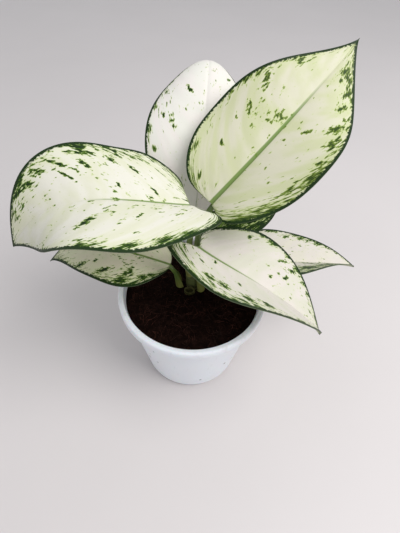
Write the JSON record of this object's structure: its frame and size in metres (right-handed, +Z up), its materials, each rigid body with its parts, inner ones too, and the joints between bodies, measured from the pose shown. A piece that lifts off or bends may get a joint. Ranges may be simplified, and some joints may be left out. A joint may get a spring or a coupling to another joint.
{
  "type": "potted chinese evergreen",
  "caption": "Potted chinese evergreen: broad cream leaves with dark green margins on sheathed stalks, from a short cane in a tapered white plastic nursery pot of soil.",
  "frame": {"origin": "centre of the pot's flat base, on the pot's own axis", "axes": "+Z up along the pot's axis; +X along the plant's longest spread, to the right when the plant is seen from its front; -Y is the front, where the cut leaf stalk is"},
  "size_m": [0.267, 0.2085, 0.25],
  "materials": {
    "pot_plastic": "moulded white, slightly glossy",
    "soil": "loose dark cocopeat",
    "stem": "green cane with pale leaf scars",
    "cut_stalk": "dried olive-brown cut",
    "leaf_blade": "cream and green, waxy",
    "leaf_stalk": "smooth green with a dry sheath edge"
  },
  "bodies": {
    "root": {"pot": "pot_plastic", "soil": "soil", "stem_and_roots": "stem", "cut_leaf_stalk": "cut_stalk", "leaf_upper_left": "leaf_blade", "leaf_upper_right": "leaf_blade", "leaf_back": "leaf_blade", "leaf_back_right": "leaf_blade", "leaf_front_right": "leaf_blade", "leaf_low_right": "leaf_blade", "leaf_low_left": "leaf_blade"}
  },
  "joints": []
}
